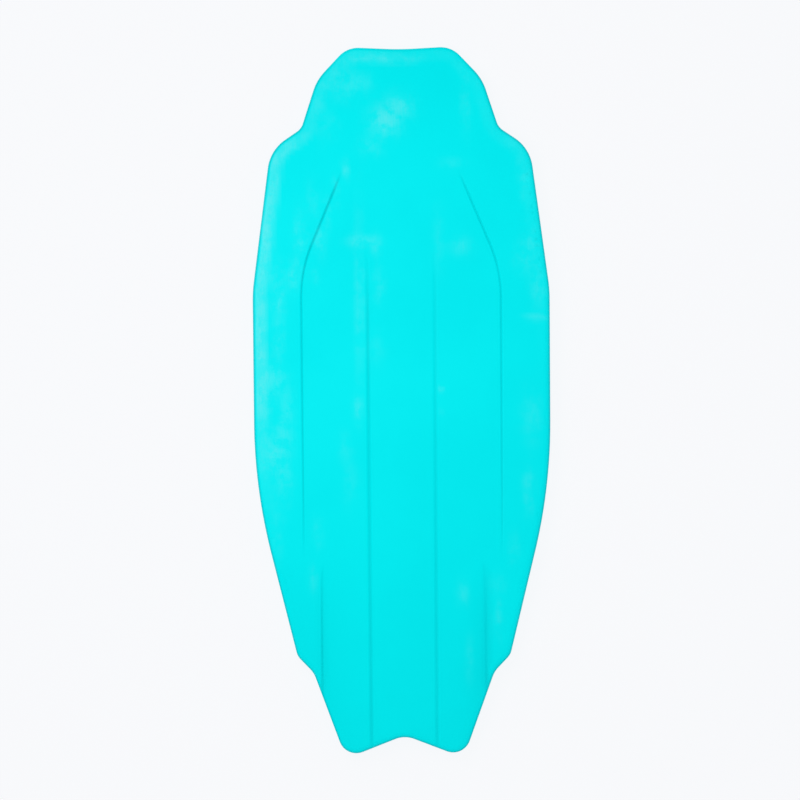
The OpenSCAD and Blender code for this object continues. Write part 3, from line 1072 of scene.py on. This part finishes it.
def painted_edge_highlight(x, s, from_edge):
    """The painted highlight band inside the edge."""
    band = step_up(from_edge, *BAND_IN) * (1 - step_up(from_edge, *BAND_OUT))
    left = BAND_NOSE_SHARE + (1 - BAND_NOSE_SHARE) * step_up(s, *BAND_GROWS)
    left *= 1 - BAND_REAR_DROP * step_up(s, *BAND_DROPS) - (1 - BAND_REAR_DROP) * step_up(s, *BAND_ENDS)
    right = BAND_RIGHT_SHARE * (1 - step_up(s, *BAND_RIGHT_ENDS))
    return BAND_STRENGTH * band * np.where(x < 0, left, right)


def painted_shade(x, y, s, from_edge):
    """How dark the painted shade is in the channels, scoops and rim, and on the left of the tail: the
    darkest feature counts at each point.
    """
    on_left = x < 0
    across = np.abs(x)
    inner = groove(across - inner_x(s), inner_w) * step_up(s, *INNER_GROWS)
    inner_left = INNER_LEFT_FRONT + (INNER_LEFT - INNER_LEFT_FRONT) * step_up(s, *INNER_WEAKENS)
    away, along = to_outer(across, y)
    shade_w = outer_w * (OUTER_SHADE_W + OUTER_SHADE_WIDER * (1 - step_up(along, *OUTER_NARROWS)))
    outer = groove(away, shade_w) * step_up(along, *OUTER_GROWS) * (1 - step_up(along, *OUTER_ENDS))
    outer_left = OUTER_LEFT_FRONT + (OUTER_LEFT - OUTER_LEFT_FRONT) * step_up(along, *OUTER_WEAKENS)
    wall = smooth(1 - np.abs(across - scoop_wall(s)) / SCOOP_LINE_W)
    wall *= eased(s - scoop_tip_s, SCOOP_LINE_RUN)
    rim = RIM_AT_NOSE + (RIM - RIM_AT_NOSE) * step_up(s, *RIM_GROWS)
    return np.max([
        np.where(on_left, inner_left, INNER_RIGHT) * inner,
        np.where(on_left, outer_left, OUTER_RIGHT) * outer,
        np.where(on_left, SCOOP_LEFT, SCOOP_RIGHT) * wall,
        SCOOP_FLOOR * scoop_depth(across, s) / scoop_d,
        rim * (1 - step_up(from_edge, *RIM_OUT)),
        LEFT_TAIL_SHADE * step_up(s, *TAIL_SHADE_GROWS) * step_up(-x, *TAIL_SHADE_GROWS_LEFT),
    ], axis=0)


def paint_slick_scuffs_highlights_and_shade(piece):
    """Stores each point of the slick's chalky scuffs and painted highlights, and its painted shade."""
    places = vertex_places(piece)
    x, y = places[:, 0], places[:, 1]
    s = nose_y - y
    from_edge = nearest(places[:, :2], outline)
    store(piece, SCUFF_AND_HIGHLIGHT_LAYER, patchy_scuff_and_highlight(x, s))
    store(piece, EDGE_HIGHLIGHT_LAYER, painted_edge_highlight(x, s, from_edge))
    store(piece, PAINTED_SHADE_LAYER, painted_shade(x, y, s, from_edge))


# ---- Putting the object together ----

def build_board():
    """Makes the detailed pieces in place of their CAD nodes, and gives every other node its material."""
    slick = make_slick()
    paint_slick_scuffs_highlights_and_shade(slick)
    pieces = [
        (slick, "bottom_slick", "slick_plastic"),
        (make_deck(), "deck_skin", "deck_foam"),
        (make_cup(), "leash_cup", "cup_nylon"),
    ]
    pieces += [(piece, node, "rail_foam") for piece, node in make_strips()]
    for piece, node, slot in pieces:
        finish_piece(piece, slot)
        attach(piece, BODY)
        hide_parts(node)
    replaced = {node for _, node, _ in pieces}
    for part in frame["record"]["subparts"]:
        if part["node"] not in replaced:
            finish_piece(frame["nodes"][part["node"]], part["material_slot"])


# ---- Studio and camera ----

# The view, in metres: how wide it is at the board's level, where its middle lies, and how it is turned
VIEW_WIDTH = 1.383
VIEW_LEVEL = 0.032
VIEW_OFFSET = (-0.0035, -0.0005)
VIEW_TURN = math.radians(-0.46)
LENS = 200
SENSOR = 36

# The studio, in metres: a flat round floor, a swept corner and a low wall
FLOOR_R = 11.0
FLOOR_INNER_R = 9.0
SWEEP_R = 3.0
SWEEP_START = 0.15          # angle of the sweep's first ring
SWEEP_RINGS = 8
WALL_TOP = 6.5
STAGE_SIDES = 64
FLOOR_GAP = 0.0005          # below the board
STAGE_WHITE = (0.968, 0.978, 1.0, 1)
STAGE_GLOW = 0.926
AIR_WHITE = (0.97, 0.98, 1.0, 1)
AIR_GLOW = 0.586

# The lamp, in metres and watts
KEY_PLACE = (-0.37, 0.25, 1.7)
KEY_SIZE = 1.0
KEY_POWER = 11


def stage_material():
    """The floor and backdrop glow evenly, so that the board's shadow stays faint."""
    material = bpy.data.materials.new("studio_white")
    material.use_nodes = True
    shader = material.node_tree.nodes["Principled BSDF"]
    shader.inputs["Base Color"].default_value = (0.05, 0.05, 0.05, 1)
    shader.inputs["Roughness"].default_value = 1.0
    shader.inputs["Specular IOR Level"].default_value = 0.0
    shader.inputs["Emission Color"].default_value = STAGE_WHITE
    shader.inputs["Emission Strength"].default_value = STAGE_GLOW
    return material


def make_stage():
    """A round floor that curves up into a backdrop all round."""
    profile = [(FLOOR_INNER_R, 0.0), (FLOOR_R, 0.0)]
    for angle in np.linspace(SWEEP_START, math.pi / 2, SWEEP_RINGS):
        profile.append((FLOOR_R + SWEEP_R * math.sin(angle), SWEEP_R * (1 - math.cos(angle))))
    profile.append((FLOOR_R + SWEEP_R, WALL_TOP))
    vertices = [(0.0, 0.0, 0.0)]
    for radius, z in profile:
        for i in range(STAGE_SIDES):
            angle = 2 * math.pi * i / STAGE_SIDES
            vertices.append((radius * math.cos(angle), radius * math.sin(angle), z))
    faces = [(0, 1 + i, 1 + (i + 1) % STAGE_SIDES) for i in range(STAGE_SIDES)]
    for ring in range(len(profile) - 1):
        low = 1 + ring * STAGE_SIDES
        high = low + STAGE_SIDES
        for i in range(STAGE_SIDES):
            following = (i + 1) % STAGE_SIDES
            faces.append((low + i, high + i, high + following, low + following))
    mesh = bpy.data.meshes.new("studio")
    mesh.from_pydata(vertices, [], faces)
    mesh.polygons.foreach_set("use_smooth", [True] * len(mesh.polygons))
    mesh.materials.append(stage_material())
    stage = bpy.data.objects.new("studio", mesh)
    bpy.context.scene.collection.objects.link(stage)
    stage.location.z = cad_low.z - FLOOR_GAP


def light_studio():
    """Even light from all round, and one round soft lamp above, to the left of the nose."""
    world = bpy.data.worlds.new("studio_air")
    world.use_nodes = True
    background = world.node_tree.nodes["Background"]
    background.inputs["Color"].default_value = AIR_WHITE
    background.inputs["Strength"].default_value = AIR_GLOW
    bpy.context.scene.world = world
    light = bpy.data.lights.new("key", "AREA")
    light.shape = "DISK"
    light.size = KEY_SIZE
    light.energy = KEY_POWER
    lamp = bpy.data.objects.new("key", light)
    lamp.location = KEY_PLACE
    lamp.rotation_mode = "QUATERNION"
    lamp.rotation_quaternion = (-Vector(KEY_PLACE)).to_track_quat("-Z", "Y")
    bpy.context.scene.collection.objects.link(lamp)


def place_camera():
    """Straight above the board with a long lens; the board appears turned a little."""
    camera = bpy.data.cameras.new("camera")
    camera.lens = LENS
    camera.sensor_width = SENSOR
    camera.dof.use_dof = False
    eye = bpy.data.objects.new("camera", camera)
    lift = VIEW_WIDTH * LENS / SENSOR
    eye.location = (VIEW_OFFSET[0], VIEW_OFFSET[1], VIEW_LEVEL + lift)
    eye.rotation_euler = (0, 0, VIEW_TURN)
    bpy.context.scene.collection.objects.link(eye)
    bpy.context.scene.camera = eye


place_camera()
build_board()
make_stage()
light_studio()
bpy.context.scene.view_settings.view_transform = "Standard"
